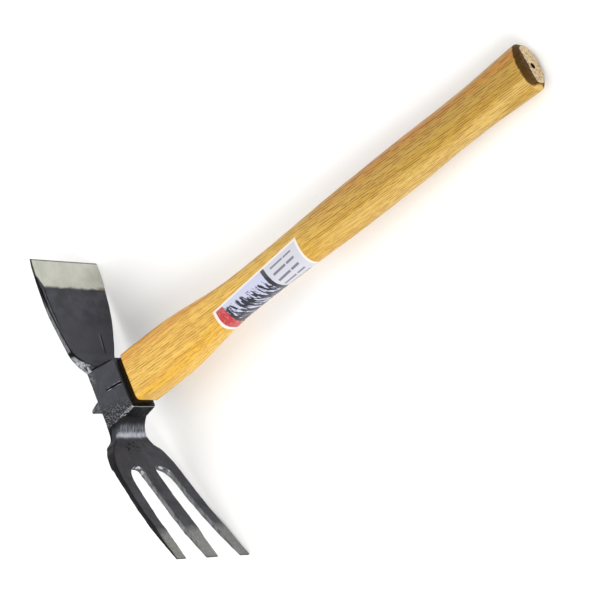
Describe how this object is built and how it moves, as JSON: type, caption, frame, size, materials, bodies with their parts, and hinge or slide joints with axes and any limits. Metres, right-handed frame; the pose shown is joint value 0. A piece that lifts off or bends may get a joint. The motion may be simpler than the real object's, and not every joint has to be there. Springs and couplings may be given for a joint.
{
  "type": "hand cultivator",
  "caption": "Short-handled garden cultivator: a forged hoe blade on one side of the eye, a flat-tined fork on the other, on an oval wooden handle.",
  "frame": {"origin": "mouth of the small hole in the middle of the butt's flat end, on the handle's axis", "axes": "+X along the handle, away from the head and out of the butt; +Y across the head towards the hoe's cutting edge, so the fork is at -Y; +Z out of the head's side, parallel to the cutting edge"},
  "size_m": [0.387, 0.2272, 0.0638],
  "materials": {
    "varnished_wood": "satin varnish over open-grained hardwood",
    "forged_iron": "bluish black forge scale",
    "ground_steel": "coarsely ground bright steel",
    "weld_metal": "ground weld with file marks",
    "wedge_steel": "dull drawn steel",
    "label_paper": "coated paper"
  },
  "bodies": {
    "root": {"handle": "varnished_wood", "eye_band": "forged_iron", "blade": "forged_iron", "blade_steel": "ground_steel", "blade_weld": "weld_metal", "fork": "forged_iron", "fork_weld": "weld_metal", "wedge": "wedge_steel", "label": "label_paper"}
  },
  "joints": []
}
